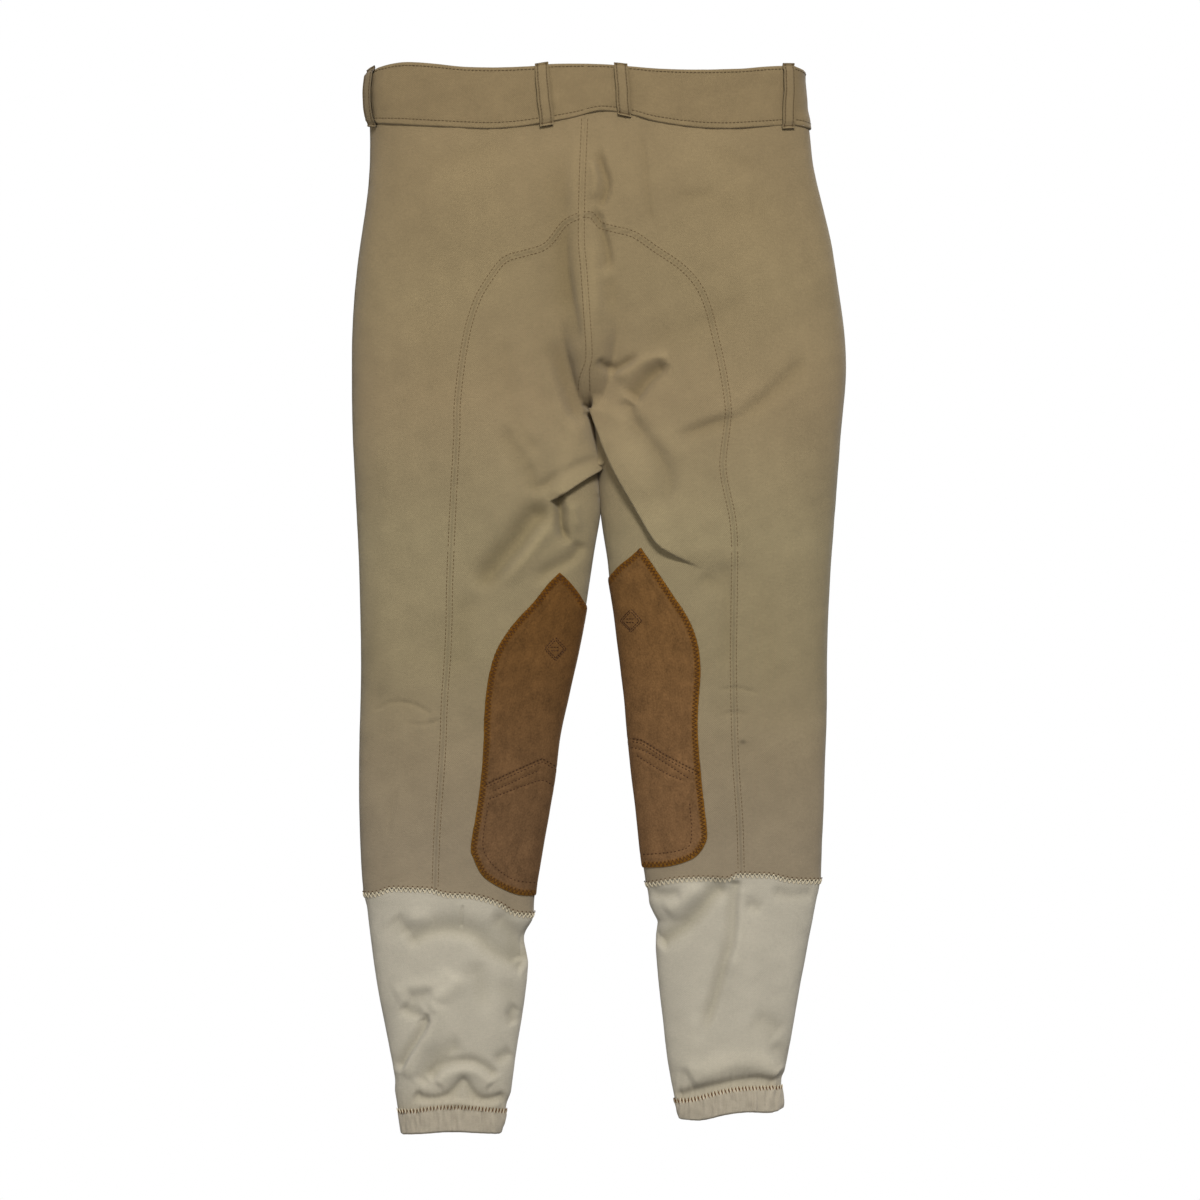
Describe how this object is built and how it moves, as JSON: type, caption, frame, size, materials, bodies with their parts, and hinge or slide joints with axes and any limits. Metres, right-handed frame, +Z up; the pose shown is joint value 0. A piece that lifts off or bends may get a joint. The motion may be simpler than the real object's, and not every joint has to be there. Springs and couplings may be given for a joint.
{
  "type": "riding breeches",
  "caption": "Knee-patch riding breeches with belt loops, curved seat seams, suede knee patches and light knit sock bottoms, hanging lightly filled.",
  "frame": {"origin": "on the plane of the lower hem, midway across the hips and midway front to back", "axes": "+Z up from hems to waist, +Y towards the wearer's front, +X towards the wearer's right; the back faces -Y"},
  "size_m": [0.444, 0.1055, 0.9627],
  "materials": {
    "shell_twill": "matte fine stretch twill",
    "waist_twill": "matte twill, topstitched",
    "facing_twill": "matte twill",
    "interlining": "matte non-woven",
    "pocketing": "matte plain weave",
    "suede": "napped suede",
    "sock_knit": "matte fine knit",
    "hem_knit": "matte gathered knit",
    "elastic": "woven elastic",
    "zip_tape": "matte woven tape",
    "zip_metal": "aged satin",
    "snap_metal": "satin",
    "label": "satin ribbon, blank"
  },
  "bodies": {
    "hips": {"belt_loop_back_left": "waist_twill", "belt_loop_back_right": "waist_twill", "belt_loop_front_left": "waist_twill", "belt_loop_front_right": "waist_twill", "belt_loop_side_left": "waist_twill", "belt_loop_side_right": "waist_twill", "care_label": "label", "fly_facing": "facing_twill", "fly_shield": "facing_twill", "left_back_panel": "shell_twill", "left_front_panel": "shell_twill", "left_pocket_bag": "pocketing", "left_pocket_welt": "shell_twill", "left_seat_panel": "shell_twill", "right_back_panel": "shell_twill", "right_front_panel": "shell_twill", "right_pocket_bag": "pocketing", "right_pocket_welt": "shell_twill", "right_seat_panel": "shell_twill", "snap_stud": "snap_metal", "waistband_facing": "facing_twill", "waistband_interlining": "interlining", "waistband_outer": "waist_twill", "waistband_underlap": "waist_twill", "zip_stops": "zip_metal", "zip_tape_left": "zip_tape", "zip_tape_right": "zip_tape", "zip_teeth_left": "zip_metal", "zip_teeth_right": "zip_metal"},
    "zip_slider": {"zip_slider": "zip_metal", "zip_pull_pin": "zip_metal"},
    "zip_pull": {"zip_pull": "zip_metal"},
    "waist_tab": {"waist_tab": "waist_twill", "snap_socket": "snap_metal", "snap_cap": "snap_metal"},
    "left_thigh": {"left_knee_patch_upper": "suede", "left_thigh_back_panel": "shell_twill", "left_thigh_front_panel": "shell_twill", "left_thigh_inner_panel": "shell_twill"},
    "left_calf": {"left_calf_back_panel": "shell_twill", "left_calf_front_panel": "shell_twill", "left_calf_inner_panel": "shell_twill", "left_hem_band": "hem_knit", "left_hem_elastic": "elastic", "left_knee_patch_lower": "suede", "left_sock_bottom": "sock_knit"},
    "right_thigh": {"right_knee_patch_upper": "suede", "right_thigh_back_panel": "shell_twill", "right_thigh_front_panel": "shell_twill", "right_thigh_inner_panel": "shell_twill"},
    "right_calf": {"right_calf_back_panel": "shell_twill", "right_calf_front_panel": "shell_twill", "right_calf_inner_panel": "shell_twill", "right_hem_band": "hem_knit", "right_hem_elastic": "elastic", "right_knee_patch_lower": "suede", "right_sock_bottom": "sock_knit"}
  },
  "joints": [
    {"name": "zip_slide", "type": "slide", "parent": "hips", "child": "zip_slider", "axis": [0, 0, -1], "range_m": [0, 0.11]},
    {"name": "zip_pull_flip", "type": "hinge", "parent": "zip_slider", "child": "zip_pull", "pos_m": [-0.009, 0.0499, 0.894], "axis": [1, 0, 0], "range_deg": [0, 150]},
    {"name": "waist_tab_open", "type": "hinge", "parent": "hips", "child": "waist_tab", "pos_m": [-0.029, 0.05, 0.931], "axis": [0, 0, 1], "range_deg": [0, 100]},
    {"name": "left_hip_bend", "type": "hinge", "parent": "hips", "child": "left_thigh", "pos_m": [-0.112, 0, 0.61], "axis": [1, 0, 0], "range_deg": [-15, 90]},
    {"name": "left_knee_bend", "type": "hinge", "parent": "left_thigh", "child": "left_calf", "pos_m": [-0.1245, 0, 0.33], "axis": [-1, 0, 0], "range_deg": [0, 90]},
    {"name": "right_hip_bend", "type": "hinge", "parent": "hips", "child": "right_thigh", "pos_m": [0.1105, 0, 0.61], "axis": [1, 0, 0], "range_deg": [-15, 90]},
    {"name": "right_knee_bend", "type": "hinge", "parent": "right_thigh", "child": "right_calf", "pos_m": [0.1155, 0, 0.33], "axis": [-1, 0, 0], "range_deg": [0, 90]}
  ]
}
